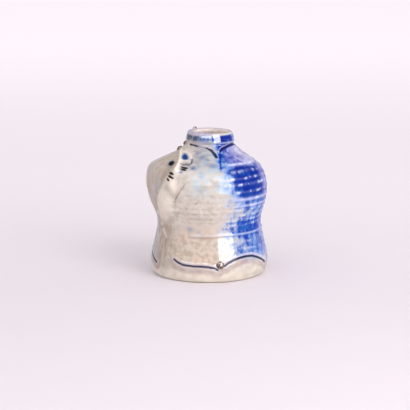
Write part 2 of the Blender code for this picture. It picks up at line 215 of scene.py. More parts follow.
# Patches of colour, each with where it rises and falls round the wall, in azimuth, and up it, in height.
# A pair of limits under 0 or over 900 leaves that side open.
ALL = (-2, -1, 998, 999)
PATCHES = {
    "violet": ((130, 142, 215, 250), (77.5, 81.5, 91, 92.5)),
    # Painted sheen: the pale room seen in the glaze along the far right side.
    "far_edge_sheen": ((171, 187, 210, 245), ALL),
    # Painted sheen: the shoulder pales to lilac towards its far right edge.
    "shoulder_sheen": ((146, 178, 200, 235), (76.5, 82, 90, 92)),
    "collar_blue": ((70, 92, 250, 290), ALL),
    "navy": ((121.5, 123.5, 215, 230), (70, 76, 998, 999)),
    "cool": ((80, 104, 250, 300), (52, 66, 998, 999)),
    "pink": ((58, 80, 128, 146), (9, 15, 24, 44)),
    "low": ((36, 60, 132, 150), (9, 15, 27, 46)),
    "greyer": ((-2, -1, 148, 164), (-2, -1, 44, 58)),
    "foot": (ALL, (-2, -1, 5, 11)),
    # Painted contact shade: dark brown along the very foot, where it meets the floor.
    "contact_shade": (ALL, (-2, -1, 0.2, 1)),
}
# The same on both sides of the head, by the azimuth's size.
MIRRORED_PATCHES = {
    "shoulder": ((62, 78, 998, 999), (75, 80, 97, 99)),
    "shade": ((-2, -1, 50, 78), (-2, -1, 34, 46)),
    # Painted shade and sheen: lilac-grey along the low front edge, below the muzzle.
    "edge_shade_and_sheen": ((-2, -1, 36, 52), (-2, -1, 28, 44)),
}

# Grains of the mottle, made from blotches of this size in mm: how far each is pressed flat or, below 1, drawn
# out downwards, how much finer it is, its detail, and between which values of the noise it runs from 0 to 1.
BLOTCH_SIZE = 6.5
GRAINS = {
    "Blotch": (1.4, 1, 2, 0.25, 0.75),
    "Dot": (1.2, 1.9, 1, 0.22, 0.78),
    "Drift": (1, 0.4, 2, 0.34, 0.66),
    "Streak": (3.4, 0.9, 2, 0.3, 0.7),
    "Run": (0.25, 2.4, 2, 0.32, 0.68),
    "Dash": (0.5, 1.6, 1, 0.46, 0.66),
}

# Thin layers over the cream ground, from the lowest up: the field that places each, its share and colour, and
# the grain that breaks it up, from low to high. The head's own begin at face.
GROUND_LAYERS = (
    ("cool", 1.1, "grey_blue", "Blotch", -0.1, 1.1),
    ("pink", 0.7, "pink", "Drift", 0.3, 1),
    ("low", 0.75, "low_brown", "Dot", 0.1, 1),
    ("shade", 0.75, "brown", "Run", 0.25, 1),
    # Painted shade and sheen along the low front edge.
    ("edge_shade_and_sheen", 0.6, "shade_sheen_grey", "Run", 0.2, 1),
    ("shoulder", 0.75, "slate_grey", "Streak", 0.3, 1),
    ("smudge", 1.5, "smudge", "Streak", 0.35, 1),
    # Painted shadow below the cord.
    ("cord_shadow", 0.7, "brown"),
    # Painted shade under each ridge.
    ("trough", 0.45, "brown", "Dash", 0.15, 1),
    ("face", 0.9, "face"),
    ("face", 0.65, "face_streak", "Run", 0, 1),
    # Painted shade on the face beside the crest.
    ("face_shade", 0.75, "fold", "Drift", 0.2, 1),
    ("face", 0.4, "grey_blue", "Drift", 0.8, -0.7),
    # Partly the cheek's own paler cream, partly painted light on its raised form.
    ("cheek", 0.6, "cheek"),
    ("fold", 0.2, "fold"),
    # Painted shade in the cheek's hollow.
    ("cheek_hollow_shade", 0.55, "fold"),
    ("tan", 0.75, "tan"),
    # Pale brow and crease: partly thin glaze, partly painted highlight on the raised edges.
    ("brow", 0.9, "crest"),
    ("crease", 0.5, "crest"),
)

# Area lights: name, azimuth and elevation in degrees, distance and size in m, the setting that holds the
# power and its share, and the colour. They face the vase, and the sheens show only in the glaze.
LIGHTS = (
    ("key_softbox", 145, 25, 1.2, (0.78, 1.15), "key_power", 1, (1, 0.98, 0.99)),
    ("key_sheen", 144, 25, 1.19, (0.7, 1.1), "sheen_power", 1, (1, 0.98, 0.98)),
    ("left_sheen", 87, 38, 1.59, (1.5, 0.8), "sheen_power", 0.95, (1, 0.99, 1)),
    ("left_window", 87, 38, 1.6, (1.5, 0.8), "fill_power", 1, (1, 1, 1)),
)

# Heights that the lights and the camera aim at, how far left the camera aims, and half the floor, in m.
LIGHTS_AIM = 0.05
CAMERA_AIM = 0.047
CAMERA_SHIFT = 0.003
FLOOR_REACH = 9.0

# The mesh: columns round the wall, rows up it and rows down its inside, in stretches of even steps.
COLUMN_STRETCHES = ((-50, 50, 66), (50, 90, 76), (90, 200, 118), (200, 270, 46),
                    (270, 310, 64))
ROW_STRETCHES = ((0, 3.4, 8), (3.4, 8, 6), (8, 19, 28), (19, 54, 56), (54, 68, 28),
                 (68, 92.2, 76), (92.2, COLLAR_TOP, 13))
INNER_STRETCHES = ((92, 60, 14), (60, 8, 12))

# Rings inside the neck: how much wider than the mouth, height, and share of the mouth's shift.
NECK_RINGS = ((0.25, 96.2, 0.75), (0.9, 93.6, 0.3))
BASE_RADIUS = 35.5


def srgb(red, green, blue):
    """A colour as the screen shows it, 0 to 255, turned into the linear values of a shader."""
    values = np.array((red, green, blue)) / 255.0
    return tuple(np.where(values <= 0.04045, values / 12.92, ((values + 0.055) / 1.055) ** 2.4).tolist())


def curve_through(stations, x):
    """A smooth curve through the stations: on each span, a cubic with the neighbours' mean slope."""
    knots, values = np.array(stations).T
    slopes = np.gradient(values, knots)
    x = np.clip(np.asarray(x, float), knots[0], knots[-1])
    i = np.clip(np.searchsorted(knots, x) - 1, 0, len(knots) - 2)
    span = knots[i + 1] - knots[i]
    t = (x - knots[i]) / span
    return (
        values[i] * (1 + 2 * t) * (1 - t) ** 2
        + slopes[i] * span * t * (1 - t) ** 2
        + values[i + 1] * t * t * (3 - 2 * t)
        - slopes[i + 1] * span * t * t * (1 - t)
    )


def rise(x, low, high):
    """0 below low, 1 above high, and an even S between them."""
    t = np.clip((x - low) / (high - low), 0.0, 1.0)
    return t * t * (3 - 2 * t)


def fall(x, low, high):
    """1 below low, 0 above high."""
    return 1 - rise(x, low, high)


def window(x, rise_from, rise_to, fall_from, fall_to):
    """A rise times a fall."""
    return rise(x, rise_from, rise_to) * fall(x, fall_from, fall_to)


def bell(distance, width):
    """exp(-(distance / width) squared)."""
    return np.exp(-((distance / width) ** 2))


def bowl(distance, radius):
    """1 - (distance / radius) squared, and 0 beyond the radius."""
    return np.clip(1 - (distance / radius) ** 2, 0, 1)


def side_of(azimuth):
    """The azimuth's size, so that both sides of the head get the same forms."""
    return np.abs((azimuth + 180.0) % 360.0 - 180.0)


def lean(height):
    """How far back the collar leans."""
    return COLLAR_LEAN * rise(height, 80, 93)


def dip(turn, height):
    """How far the rim sags on one side, for an azimuth in radians."""
    turned = turn - np.radians(RIM_DIP_AZIMUTH)
    return RIM_DIP * rise(height, 92, 99) * (0.5 + 0.5 * np.cos(turned))


def thrown(azimuth, height):
    """The thrown wall and its outward normals: the profile's radius turned round the axis."""
    turn, height = np.broadcast_arrays(np.radians(azimuth), np.asarray(height, float))
    off = (np.degrees(turn) % 360.0 - FOOT_FLAT_AZIMUTH) / FOOT_FLAT_WIDTH
    flat = FOOT_FLAT * np.exp(-(off**2)) * fall(height, 2, 7)
    radius = curve_through(WALL, height) - flat
    slope = (curve_through(WALL, height + 0.2) - curve_through(WALL, height - 0.2)) / 0.4
    outward = np.stack([np.sin(turn), -np.cos(turn), np.zeros_like(turn)], -1)
    points = outward * radius[..., None]
    points[..., 1] += lean(height)
    points[..., 2] = height - dip(turn, height)
    normals = outward.copy()
    normals[..., 2] = -slope
    return points, normals / np.linalg.norm(normals, axis=-1, keepdims=True)


def path_distance(points, path):
    """Each point's distance to a path on the thrown wall, how far along it, and the path's height there."""
    corners = thrown(*np.array(path).T)[0]
    best = np.full(points.shape[:-1], np.inf)
    along = np.zeros(points.shape[:-1])
    level = np.zeros(points.shape[:-1])
    for n, (a, b) in enumerate(zip(corners, corners[1:])):
        t = np.clip((points - a) @ (b - a) / ((b - a) @ (b - a)), 0.0, 1.0)
        nearest = a + t[..., None] * (b - a)
        gap = np.linalg.norm(points - nearest, axis=-1)
        nearer = gap < best
        best = np.where(nearer, gap, best)
        along = np.where(nearer, (n + t) / (len(corners) - 1), along)
        level = np.where(nearer, nearest[..., 2], level)
    return best, along, level


def head_swell(side, height):
    """The broad forms of the head: its raised plane with a soft edge, and the muzzle across the front."""
    radius = curve_through(WALL, height)
    inside = (curve_through(HEAD_EDGE, height) - side) * np.radians(1.0) * radius
    plane = curve_through(HEAD_RISE, height) * rise(inside, -2.6, 0.8)
    across = np.exp(-((side / curve_through(MUZZLE_HALF_WIDTH, height)) ** 2.6))
    muzzle = (curve_through(MUZZLE_RISE, height) - curve_through(HEAD_RISE, height)) * across
    return plane + muzzle, inside


def hem_lines():
    """All the lines round the foot, as paths in whole azimuths."""
    paths = []
    for n in range(3):
        for path in (HEM_LEFT, HEM_RIGHT if n else HEM_RIGHT_FRONT):
            paths.append([(azimuth + 120 * n, height) for azimuth, height in path])
    return paths


def nearest_line(points, paths):
    """The smallest distance to any of the paths, and whether the point lies above that path."""
    best = np.full(points.shape[:-1], 9.0)
    above = np.zeros(points.shape[:-1])
    for path in paths:
        gap, _, level = path_distance(points, path)
        nearer = gap < best
        best = np.where(nearer, gap, best)
        above = np.where(nearer, rise(points[..., 2] - level, -0.3, 0.3), above)
    return best, above


def oval_distance(points, place, axes):
    """Distance from a place on the wall in units of an oval's two half axes, each (round, up) in mm."""
    centre, normal = thrown(*place)
    across = np.array((-normal[1], normal[0], 0.0))
    across /= np.linalg.norm(across)
    up = np.cross(normal, across)
    offset = np.stack([(points - centre) @ across, (points - centre) @ up], -1)
    return np.linalg.norm(offset @ np.linalg.inv(np.array(axes)), axis=-1)


def worked_surface(azimuth, height, sizes):
    """The relief of the worked wall in mm, and the fields that place its colours.

    Relief is a sum of smooth forms, each a bell, step or bowl of the distance to a named path or point.
    """
    side = side_of(azimuth)
    whole = azimuth % 360.0
    points = thrown(side, height)[0]
    true_points = thrown(azimuth, height)[0]
    relief, inside = head_swell(side, height)
    fields = {}

    def gap_to(path, among=points):
        """Distance to a path, on both sides of the head alike or among the true points."""
        return path_distance(among, path)[0]

    # Ridges left by the fingers: each wanders a little round the wall, and they fade where the head is.
    rings = np.zeros_like(relief)
    troughs = np.zeros_like(relief)
    lines = np.zeros_like(relief)
    long_lines = np.zeros_like(relief)
    fade = 0.35 * rise(side, 66, 104) + 0.65 * rise(side, 126, 150)
    for n, (level, strength, width, pale) in enumerate(RIDGES):
        wander = 0.35 * np.sin(np.radians(whole) + 1.9 * n) + 0.12 * np.sin(np.radians(3 * whole) + n)
        gap = height - level - wander
        if level == CORD_HEIGHT:
            reach = 0.5 * rise(side, 84, 96) + 0.5 * rise(side, 128, 142)
            fields["cord"] = bell(gap, 0.55) * (0.45 * rise(side, 84, 96) + 0.55 * rise(side, 120, 132))
            # Painted shadow: a brown band just below the raised cord.
            fields["cord_shadow"] = bell(gap + 1.4, 0.6) * window(side, 84, 92, 118, 130)
        else:
            reach = fade
            if level < 50.0 or 60.0 < level < 79.0:
                lines = np.maximum(lines, pale * bell(gap, 0.66 * width))
            else:
                long_lines = np.maximum(long_lines, pale * bell(gap, 0.7 * width))
        rings += bell(gap, width) * strength * reach
        troughs = np.maximum(troughs, bell(gap + 1.5, 0.6))
    relief += sizes.ridge_height / MM * rings
    fields["line_white"] = lines
    fields["line_pale"] = long_lines * rise(whole, 128, 140) * (0.5 + 0.5 * rise(height, 48, 54))
    # Painted shade: a brown band just under each ridge, on the front and right.
    fields["trough"] = troughs * window(height, 37, 43, 58, 70) * rise(side, 54, 78)

    # The roll at the foot of the collar, and the collar's own swell.
    roll = bell(height - 93.2, 0.45) * window(whole, 116, 124, 215, 240)
    fields["cord"] = np.maximum(fields["cord"], roll)
    relief += 0.45 * window(height, 93.4, 94.4, 94.4, COLLAR_TOP)

    # Crest at the edge of the face, painted pale: partly glaze running thin, partly painted highlight.
    crest = bell(inside - 0.3, CREST_WIDTH) * window(height, 73, 77, 87, 90)
    relief += CREST_RISE * crest
    fields["face"] = rise(inside, 0.4, 2.4) * window(height, 38, 52, 90, 92)
    for key, (depth, width, limits) in FACE_BANDS.items():
        fields[key] = bell(inside - depth, width) * window(height, *limits)

    # Cheek, and the strokes on the head.
    gap, along, _ = path_distance(points, CHEEK)
    cheek = bowl(gap, curve_through(CHEEK_REACH, along))
    relief += CHEEK_RISE * cheek**1.5
    # The cheek's field lays a paler cream: partly its own colour, partly painted light on the raised form.
    fields["cheek"] = rise(cheek, 0, 0.7) * rise(height, 38, 52)
    for key, path, lift, lift_width, width in STROKES:
        gap = gap_to(path)
        relief += lift * bell(gap, lift_width)
        fields[key] = bell(gap, width)

    # Soft upright folds in the muzzle.
    for fold in MUZZLE_FOLDS:
        relief -= MUZZLE_FOLD_DEPTH * bell(side - fold, 2.6) * window(height, 48, 58, 68, 74)

    # The ear: a rolled edge round a hollow.
    gap = gap_to(EAR_LOOP)
    relief += EAR_ROLL * bell(gap, EAR_ROLL_WIDTH)
    roll = bell(gap, 1.3)
    gap = np.linalg.norm(points - thrown(*EAR_HOLLOW)[0], axis=-1)
    relief -= EAR_HOLLOW_DEPTH * bowl(gap, EAR_HOLLOW_RADIUS)
    pool = oval_distance(points, EAR_POOL, EAR_POOL_AXES)
    fields["ear"] = fall(pool, 0.45, 1.15)
    # The ear's rolled edge is painted pale too: partly thin glaze, partly painted highlight.
    fields["brow"] = np.maximum(fields["brow"], 0.85 * roll * (1 - fields["ear"]))

    # Marks of the tool: eye and nostrils are pits, the nicks and the mouth are strokes.
    gap = oval_distance(points, EYE, EYE_AXES)
    relief -= EYE_DEPTH * bowl(gap, 1)
    marks = 2.4 * (gap - 0.98)
    fields["eye_shade"] = np.maximum(fall(gap, 0.8, 2), 0.9 * bell(gap_to(EYE_HALO), 1.2))
    gap = np.linalg.norm(points - thrown(*NOSTRIL)[0], axis=-1)
    relief -= NOSTRIL_DEPTH * bowl(gap, NOSTRIL_RADIUS)
    marks = np.minimum(marks, gap - NOSTRIL_RADIUS + 0.3)
    for nick in NICKS:
        gap, along, _ = path_distance(points, nick)
        half = 0.5 + 0.2 * np.sin(np.pi * along)
        relief -= sizes.nick_depth / MM * bowl(gap, half + 0.15)
        marks = np.minimum(marks, gap - half)
    gap = gap_to(MOUTH, true_points)
    relief -= 0.5 * bell(gap, 0.6)
    fields["mouth"] = bell(gap, 0.8)
    fields["mark"] = np.minimum(marks, FAR)

    # Lines drawn round the foot and under the collar, each with a raised lip above it.
    hem, above = nearest_line(true_points, hem_lines())
    front, over_front = nearest_line(points, (CURTAIN_FRONT,))
    back, over_back = nearest_line(points, (CURTAIN_BACK,))
    depth = sizes.line_depth / MM
    width = sizes.line_width / MM
    curtain = np.minimum(front, back)
    over = np.where(front < back, over_front, over_back)
    relief += 0.3 * bell(hem - 1.7, 0.8) * above - depth * bell(hem, width)
    depth = depth * rise(height, 78, 88)
    relief += 0.2 * bell(curtain - 1.5, 0.7) * over - depth * bell(curtain, width)
    thin = 0.5 * window(side, 74, 84, 94, 104) - 0.6 * rise(side, 104, 117)
    sunk = 2.0 * fall(height, 86.5, 88.3) - 0.5
    dark = np.minimum(front + thin, back + sunk)
    fields["line"] = np.minimum(np.minimum(hem - 0.18, dark), FAR)
    lip = window(hem, 0.6, 1, 1.7, 3) * above * (0.5 + 0.5 * window(whole, 122, 130, 225, 240))
    soft_lip = window(curtain, 0.6, 0.9, 1.3, 2) * over * rise(height, 86, 88)
    fields["lip"] = np.maximum(lip, 0.7 * soft_lip)
    stain = np.maximum(window(hem, 1.4, 2.6, 4.2, 6.2), 0.4 * window(hem, 0.5, 0.8, 1.6, 2.6))
    fields["stain"] = stain * (1 - above)

    # A hairline crack and a fleck, on one side only.
    gap, along, _ = path_distance(true_points, CRACK)
    relief -= 0.12 * bell(gap, 0.35)
    crack = fall(gap, 0.1, 0.45) * (1 - 0.75 * rise(along, 0.55, 0.9))
    fields["crack"] = np.maximum(crack, 0.6 * fall(gap_to(FLECK, true_points), 0.1, 0.6))

    # Where the colours lie: the blue side and its ragged edge, the runs and streaks, and the smudges.
    edge, _ = nearest_line(true_points, EDGE_STREAKS)
    fields["edge_streak"] = bell(edge, 0.6)
    start = np.interp(height, *np.array(BLUE_START).T)
    wider = 9.0 * fall(height, 50, 60)
    blue = rise(whole, start - 19.0 - wider, start + 13.0 + wider) * fall(whole, 225, 280)
    fields["blue_edge"] = 4 * blue * (1 - blue) * (1 - 0.75 * window(height, 60, 64, 77, 80))
    blue = blue * curve_through(BLUE_STRENGTH, height)
    gap = gap_to(TONGUE, true_points)
    tongue = bell(gap, 1.8) * window(height, 70, 80.5, 92, 93)
    band = window(height, 92.2, 96, 97, 99.6) * curve_through(COLLAR_BLUE, whole)
    right = window(whole, 110, 116, 240, 270)
    fields["collar_streak"] = band * (1 - right)
    band = band * right
    under = bell(gap, 1.7 + 2.4 * rise(height, 86.5, 92.5)) * window(height, 86, 89.5, 94.2, 95.4)
    fields["blue"] = np.maximum.reduce([blue, 0.95 * tongue, band, 1.4 * under])
    smudges = np.zeros_like(relief)
    for *place, size, share in SMUDGES:
        offset = (true_points - thrown(*place)[0]) * SMUDGE_SQUASH
        smudges = np.maximum(smudges, share * bell(np.linalg.norm(offset, axis=-1), size))
    fields["smudge"] = smudges
    deep = window(whole, 124, 144, 215, 250) * rise(height, 50, 66)
    collar = rise(height, 92.5, 93.5) * window(whole, 110, 118, 215, 250)
    fields["deep"] = np.maximum.reduce([deep, collar, under, 0.6 * tongue])
    fields["glossy"] = np.maximum(rise(height, 90.5, 94), 0.42 * fall(height, 29, 37))
    fields["rim"] = rise(height, 97.6, 98.8) * (1 - 0.85 * window(whole, *BLUE_RIM))
    fields["inside"] = np.zeros_like(relief)
    # The patches include painted sheen on the far side and shoulder, and painted shade low on the front and
    # at the foot.
    for across, table in ((whole, PATCHES), (side, MIRRORED_PATCHES)):
        for key, (limits_round, limits_up) in table.items():
            fields[key] = window(across, *limits_round) * window(height, *limits_up)
    return relief, fields


def stretch(parts, closed=False):
    """Even steps through each stretch, joined end to end."""
    steps = [np.linspace(low, high, count, endpoint=False) for low, high, count in parts]
    if not closed:
        steps.append([parts[-1][1]])
    return np.concatenate(steps)


def ring_points(radius, height, azimuths, shift=0.0):
    """A plain circle of points at a height, following the collar's lean and dip, and shifted along +Y."""
    turn = np.radians(azimuths)
    level = height - dip(turn, height)
    return np.stack([radius * np.sin(turn), lean(height) + shift - radius * np.cos(turn), level], -1)


def ringed_mesh(name, rings, ends, fields):
    """A closed mesh from rings of points in mm, from the first end's centre to the last one's.

    Quads join neighbouring rings, and a fan of triangles closes either end. A field has a value for each
    point of the rings, and a centre takes that of the ring beside it.
    """
    rows, columns = rings.shape[:2]
    count = rows * columns
    a = np.arange(count - columns).reshape(-1, columns)
    b = np.roll(a, -1, axis=1)
    polygons = np.stack([a, b, b + columns, a + columns], -1).reshape(-1, 4).tolist()
    for ring, centre in ((np.arange(columns)[::-1], count), (np.arange(count - columns, count), count + 1)):
        polygons += np.stack([ring, np.roll(ring, -1), np.full_like(ring, centre)], -1).tolist()
    points = np.concatenate([rings.reshape(-1, 3), ends]) * MM
    mesh = bpy.data.meshes.new(name)
    mesh.from_pydata(points.tolist(), [], polygons)
    for key, values in fields.items():
        values = np.append(values, [values[0, 0], values[-1, 0]])
        attribute = mesh.attributes.new(key, "FLOAT", "POINT")
        attribute.data.foreach_set("value", values.astype(np.float32))
    mesh.update()
    mesh.shade_smooth()
    obj = bpy.data.objects.new(name, mesh)
    bpy.context.scene.collection.objects.link(obj)
    return obj


def vase_mesh(sizes):
    """Base, worked outer wall, rolled rim, inner wall and floor, as one closed skin of rings."""
    azimuths = stretch(COLUMN_STRETCHES, closed=True)
    heights = stretch(ROW_STRETCHES)
    grid_azimuth, grid_height = np.meshgrid(azimuths, heights)
    relief, fields = worked_surface(grid_azimuth, grid_height, sizes)
    points, normals = thrown(grid_azimuth, grid_height)
    outer = points + normals * relief[..., None]

    # Rim: an arc from the outside over the top into the mouth.
    start = float(curve_through(WALL, COLLAR_TOP))
    turn = np.linspace(0.0, np.pi, 14)[1:]
    middle = 0.5 * (start + MOUTH_RADIUS)
    half = 0.5 * (start - MOUTH_RADIUS)
    rim_radii = middle + half * np.cos(turn)
    rim_heights = COLLAR_TOP - RIM_INSIDE_DROP * (turn / np.pi) + RIM_ARC * np.sin(turn) ** 0.8
    shifts = MOUTH_SHIFT * rise(turn, 0.6, 3)
    rim = [ring_points(r, z, azimuths, m) for r, z, m in zip(rim_radii, rim_heights, shifts)]

    # Inner wall: the thrown wall set back by its thickness, pushed out by half the head's swell.
    inner_azimuth, inner_height = np.meshgrid(azimuths, stretch(INNER_STRETCHES))
    points, normals = thrown(inner_azimuth, inner_height)
    swell, _ = head_swell(side_of(inner_azimuth), inner_height)
    set_back = 0.5 * swell - WALL_THICKNESS
    inner = points + normals * set_back[..., None]
    neck = [
        ring_points(MOUTH_RADIUS + wider, level, azimuths, share * MOUTH_SHIFT)
        for wider, level, share in NECK_RINGS
    ]
    floor_radius = float(curve_through(WALL, FLOOR_THICKNESS)) - 2 * WALL_THICKNESS
    floor = [ring_points(floor_radius * share, FLOOR_THICKNESS, azimuths) for share in (1.0, 0.6, 0.2)]
    base = [ring_points(BASE_RADIUS * share, 0.0, azimuths) for share in (0.3, 0.7, 1.0)]

    rings = np.concatenate([np.array(base), outer, np.array(rim), np.array(neck), inner, np.array(floor)])
    ends = ((0, 0, 0), (0, 0, FLOOR_THICKNESS))

    # Beyond the worked wall there is no mark or line and no colour but that of the foot, rim and inside.
    full = {}
    first, last = len(base), len(base) + len(heights)
    over = np.linspace(0.0, 1.0, len(rim))[:, None]
    blue_side = window(azimuths % 360, *BLUE_RIM)
    for key, values in fields.items():
        grown = np.full(rings.shape[:2], FAR if key in ("mark", "line") else 0.0)
        grown[first:last] = values
        if key == "rim":
            pale = np.clip(1.3 * np.sin((0.5 + 0.5 * over) * np.pi), 0.0, 1.0)
            grown[last:last + len(rim)] = pale * (1 - 0.85 * (1 - over) ** 2 * blue_side)
        elif key == "inside":
            grown[last:] = rise(np.arange(len(rings) - last), 5, 10)[:, None]
        elif key in ("foot", "contact_shade"):
            grown[:first] = 1.0
        full[key] = grown
    return ringed_mesh("glazed_vase", rings, ends, full)


def bead_mesh(name, azimuth, height, radius, sizes):
    """A coil of clay pressed flat: an oval ball whose radius dips along a spiral.

    In the ball's own polar grid (tilt, turn) the dip is a narrow bell of the spiral's phase,
    turn / 2 pi + coils x tilt / 90 degrees, fading at the pole and at the back.
    """
    turns, tilts = 56, 30
    turn = np.arange(turns) * 2 * np.pi / turns
    tilt = np.linspace(0.0, np.pi, tilts + 1)[1:-1]
    turn, tilt = np.meshgrid(turn, tilt)
    phase = turn / (2 * np.pi) - sizes.coils * tilt / (0.5 * np.pi)
    away = np.abs(phase - np.round(phase))
    dent = sizes.coil_depth * bell(away, 0.2) * window(tilt, 0.15, 0.4, 1.3, 1.6)
    size = radius * (1 - dent)
    around = np.sin(tilt)
    local = np.stack([around * np.cos(turn), around * np.sin(turn), BEAD_FLATNESS * np.cos(tilt)], -1)
    poles = radius * BEAD_FLATNESS * np.array([(0, 0, BEAD_MIDDLE), (0, 0, -1)])

    point, normal = thrown(np.array(azimuth), np.array(height))
    swell, _ = head_swell(side_of(np.array(azimuth)), np.array(height))
    centre = point + normal * (float(swell) + BEAD_PROUD * radius)
    up = np.array((0.0, 0.0, 1.0)) - normal * normal[2]
    up /= np.linalg.norm(up)
    across = np.cross(up, normal)
    axes = np.stack([across, up, normal])
    rings = centre + size[..., None] * local @ axes
    return ringed_mesh(name, rings, centre + poles @ axes, {"coil": dent / max(sizes.coil_depth, 1e-6)})


def outward(obj):
    """Turns all faces outwards."""
    bm = bmesh.new()
    bm.from_mesh(obj.data)
    bmesh.ops.recalc_face_normals(bm, faces=bm.faces)
    bm.to_mesh(obj.data)
    bm.free()
    obj.data.shade_smooth()


class Graph:
    """Small helper that adds nodes to a tree and joins them, so that a material reads like a formula."""

    def __init__(self, tree):
        self.tree = tree

    def put(self, socket, value):
        """Joins the socket to another one, or sets its value."""
        if isinstance(value, bpy.types.NodeSocket):
            self.tree.links.new(value, socket)
        else:
            socket.default_value = (*value, 1) if socket.type == "RGBA" else value

    def node(self, kind, inputs=None, **settings):
        """A new node with its settings and inputs."""
        node = self.tree.nodes.new("ShaderNode" + kind)
        for key, value in settings.items():
            setattr(node, key, value)
        for key, value in (inputs or {}).items():
            self.put(node.inputs[key], value)
        return node

    def math(self, operation, a, b, clamp=False):
        return self.node("Math", {0: a, 1: b}, operation=operation, use_clamp=clamp).outputs[0]

    def times(self, a, b, clamp=False):
        return self.math("MULTIPLY", a, b, clamp)

    def step(self, value, low, high, to_low=0, to_high=1):
        """A smooth step from to_low to to_high while the value goes from low to high."""
        limits = {"Value": value, "From Min": low, "From Max": high, "To Min": to_low, "To Max": to_high}
        return self.node("MapRange", limits, interpolation_type="SMOOTHSTEP").outputs["Result"]

    def mix(self, share, a, b):
        return self.node("Mix", {0: share, 6: a, 7: b}, data_type="RGBA").outputs[2]

    def field(self, name):
        return self.node("Attribute", attribute_type="GEOMETRY", attribute_name=name).outputs["Fac"]

    def place(self):
        return self.node("TexCoord").outputs["Object"]

    def noise(self, vector, scale, detail):
        return self.node("TexNoise", {"Vector": vector, "Scale": scale, "Detail": detail}).outputs["Fac"]

    def group(self, group, **values):
        return self.node("Group", values, node_tree=group).outputs


def new_group(name, inputs, outputs):
    """An empty node group with float inputs and outputs, and a vector input called Place."""
    group = bpy.data.node_groups.new(name, "ShaderNodeTree")
    group.interface.new_socket("Place", in_out="INPUT", socket_type="NodeSocketVector")
    for key, default in inputs:
        socket = group.interface.new_socket(key, in_out="INPUT", socket_type="NodeSocketFloat")
        socket.default_value = default
    for key in outputs:
        group.interface.new_socket(key, in_out="OUTPUT", socket_type="NodeSocketFloat")
    entry = group.nodes.new("NodeGroupInput")
    leave = group.nodes.new("NodeGroupOutput")
    return group, entry.outputs, leave.inputs


def peel_group():
    """Orange peel: small soft dimples of two sizes, as a height and as a mask of the dimples."""
    group, entry, leave = new_group("Orange peel", (("Dimples", 700), ("Depth", 1)), ("Height", "Mask"))
    g = Graph(group)
    fine = g.noise(entry["Place"], entry["Dimples"], 1)
    broad = g.noise(entry["Place"], g.times(entry["Dimples"], 0.38), 1)
    total = g.math("ADD", g.times(fine, 0.6), g.times(broad, 0.8))
    group.links.new(g.times(total, entry["Depth"]), leave["Height"])
    group.links.new(g.step(fine, 0.4, 0.62), leave["Mask"])
    return group


def mottle_group():
    """Mottle: drifts, blotches and dots of salt glaze, and streaks drawn out round the wall or down it."""
    group, entry, leave = new_group("Glaze mottle", (("Blotches", 170),), GRAINS)
    g = Graph(group)
    for key, (squash, finer, detail, low, high) in GRAINS.items():
        place = g.node("Mapping", {"Vector": entry["Place"], "Scale": (1, 1, squash)}).outputs["Vector"]
        grain = g.noise(place, g.times(entry["Blotches"], finer), detail)
        group.links.new(g.step(grain, low, high), leave[key])
    return group


def new_material(name):
    """A material with one Principled shader, its graph and the shader."""
    material = bpy.data.materials.new(name)
    material.use_nodes = True
    return material, Graph(material.node_tree), material.node_tree.nodes["Principled BSDF"]


def add_bump(g, shader, height, strength, distance):
    bump = g.node("Bump", {"Height": height, "Strength": strength, "Distance": distance})
    g.put(shader.inputs["Normal"], bump.outputs["Normal"])


